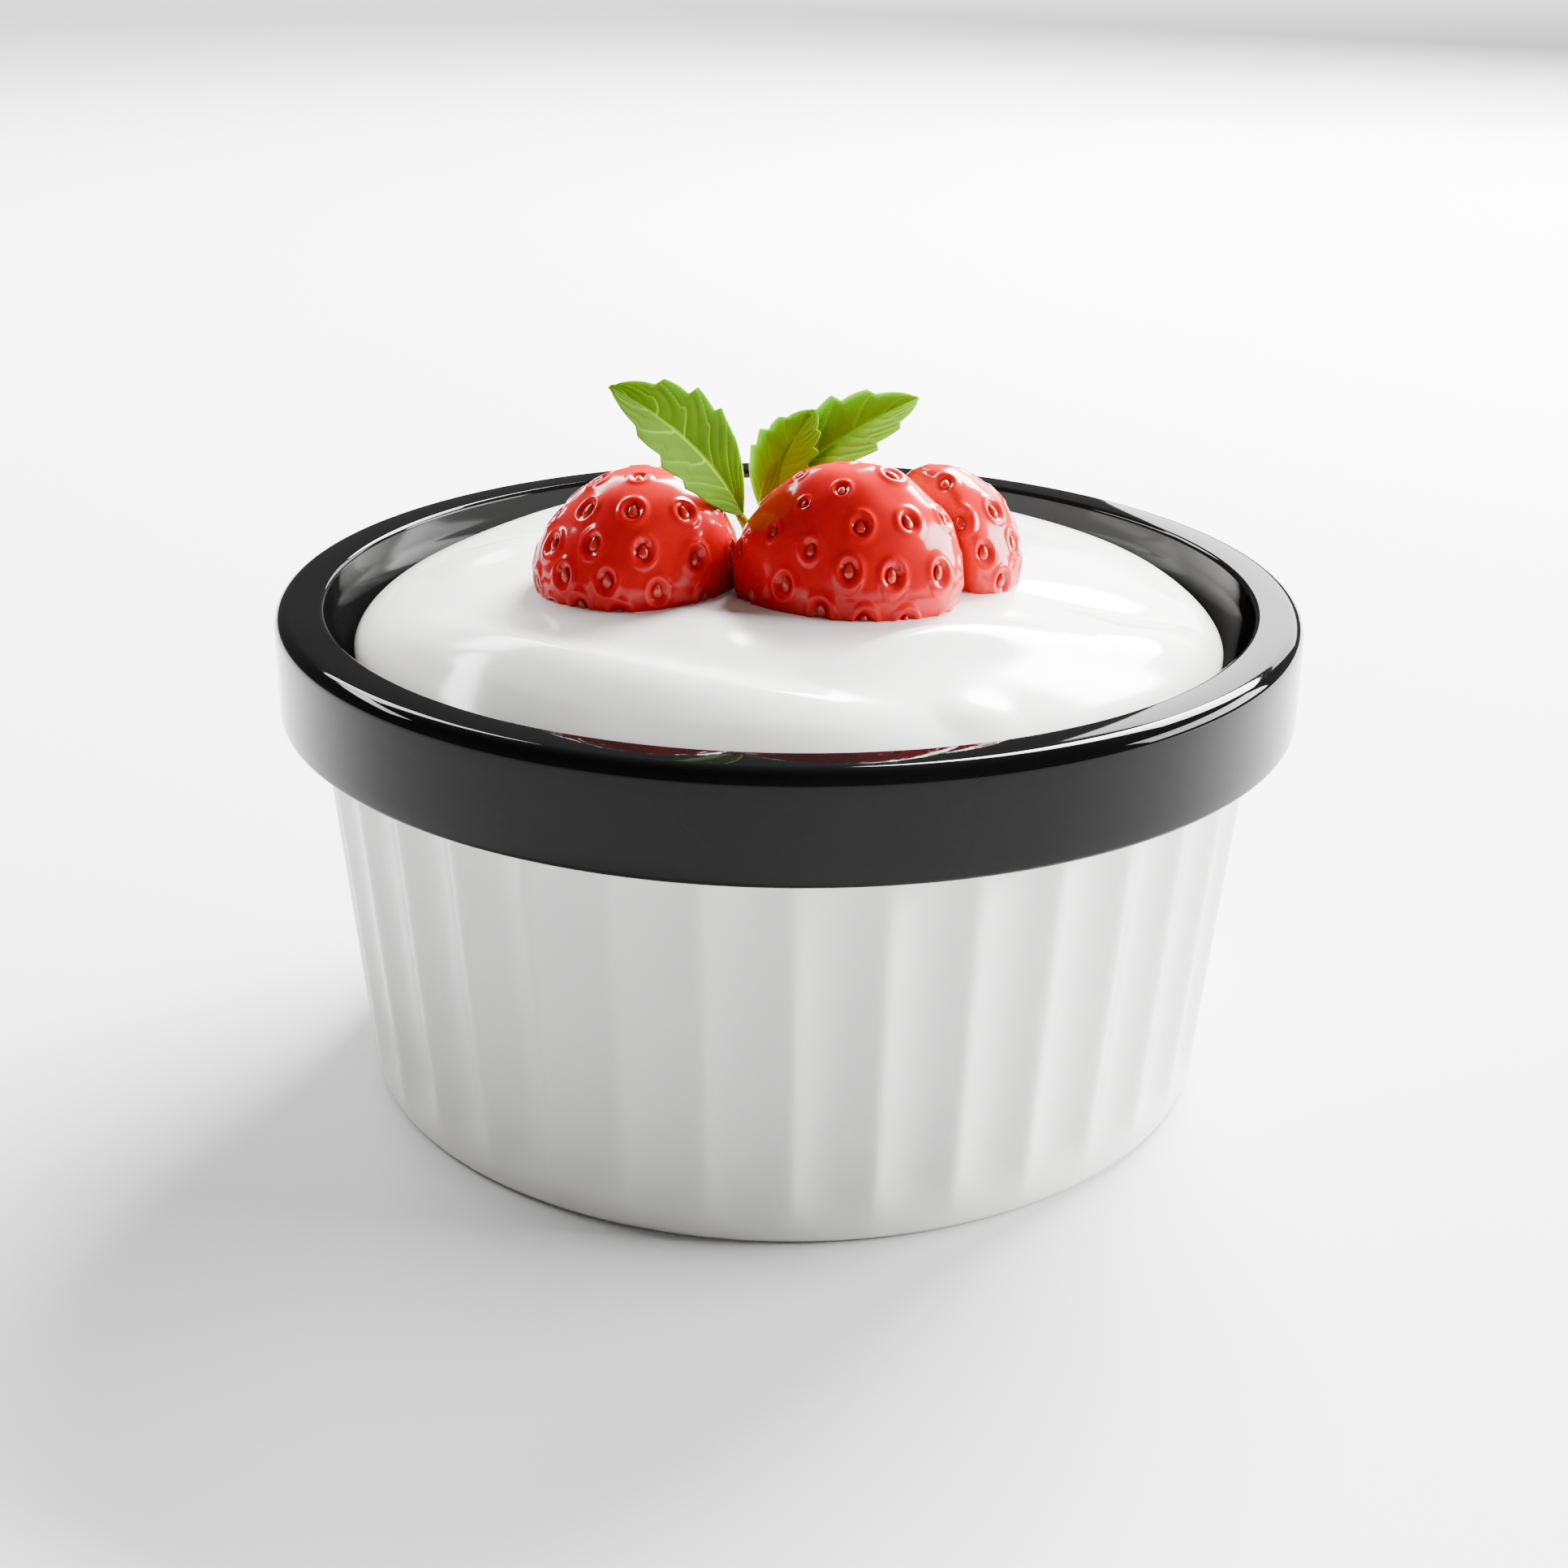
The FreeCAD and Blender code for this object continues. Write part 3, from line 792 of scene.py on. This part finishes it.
def build():
    bowl = make_bowl()
    hand_over(bowl)
    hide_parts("bowl")
    yogurt = make_yogurt()
    hand_over(yogurt)
    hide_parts("yogurt")
    skins = (berry_material(), seed_material())
    for node, tip in BERRY_TIPS.items():
        berry, seeds = make_berry(node, tip, skins)
        hand_over(berry)
        hand_over(seeds)
        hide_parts(node)
    green = leaf_material()
    stem = make_stem(green)
    hand_over(stem)
    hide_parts("mint_sprig")
    for index, leaf in enumerate(LEAVES):
        hand_over(make_leaf(index, leaf, green))
        hand_over(make_stalk(index, leaf, green))


# ---- studio ----------------------------------------------------------------------------------
def soft_light(name, place, aim, size, power):
    light = bpy.data.lights.new(name, "AREA")
    light.shape = "RECTANGLE"
    light.size, light.size_y = size
    light.energy = power
    lamp = bpy.data.objects.new(name, light)
    bpy.context.collection.objects.link(lamp)
    lamp.location = place
    lamp.rotation_euler = (Vector(aim) - Vector(place)).to_track_quat("-Z", "Y").to_euler()


def make_studio():
    material, nodes, links, shader = new_material("floor")
    noise = noise_node(nodes, links, scale=3)
    links.new(two_tones(nodes, links, noise, FLOOR_GREYS), shader.inputs["Base Color"])
    shader.inputs["Roughness"].default_value = 0.9
    half = FLOOR_HALF
    corners = [(-half, -half, 0), (half, -half, 0), (half, half, 0), (-half, half, 0)]
    make_object("floor", corners, [(0, 1, 2, 3)], material, smooth=False)
    world = bpy.data.worlds.new("studio")
    bpy.context.scene.world = world
    world.use_nodes = True
    background = world.node_tree.nodes["Background"]
    background.inputs["Color"].default_value = (1, 1, 1, 1)
    background.inputs["Strength"].default_value = WORLD_STRENGTH
    for light in LIGHTS:
        soft_light(*light)


def make_camera():
    camera = bpy.data.cameras.new("camera")
    camera.lens = LENS
    camera.sensor_width = SENSOR
    thing = bpy.data.objects.new("camera", camera)
    bpy.context.collection.objects.link(thing)
    pitch, yaw, roll = (math.radians(turn) for turn in (CAMERA_PITCH, CAMERA_YAW, CAMERA_ROLL))
    forward = Vector((math.sin(yaw) * math.cos(pitch), math.cos(yaw) * math.cos(pitch), -math.sin(pitch)))
    level = Vector((math.cos(yaw), -math.sin(yaw), 0))
    upright = level.cross(forward)
    right = level * math.cos(roll) + upright * math.sin(roll)
    up = upright * math.cos(roll) - level * math.sin(roll)
    turn = Matrix((right, up, -forward)).transposed().to_4x4()
    place = Vector(CAMERA_PLACE) * RIM_RADIUS
    thing.matrix_world = Matrix.Translation(place) @ turn
    bpy.context.scene.camera = thing


build()
make_studio()
make_camera()
